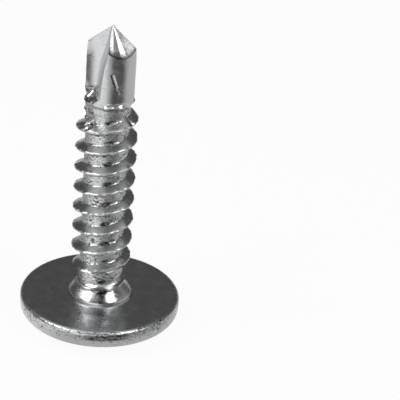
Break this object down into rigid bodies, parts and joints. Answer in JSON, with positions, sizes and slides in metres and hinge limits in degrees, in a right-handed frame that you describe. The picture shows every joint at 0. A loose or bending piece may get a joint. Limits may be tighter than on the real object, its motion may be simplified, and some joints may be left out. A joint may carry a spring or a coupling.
{
  "type": "self-tapping screw",
  "caption": "Self-tapping screw with a flat washer head, cross recess, right-hand thread and two-flute drill point, standing on its head.",
  "frame": {"origin": "centre of the head's outer face, on which the screw stands", "axes": "+Z along the screw's axis, from the head to the drill tip; +X and +Y across the head"},
  "size_m": [0.0104, 0.0104, 0.0207],
  "materials": {
    "zinc_plated_steel": "bright zinc plating on forged and thread-rolled steel"
  },
  "bodies": {
    "root": {"screw": "zinc_plated_steel"}
  },
  "joints": []
}
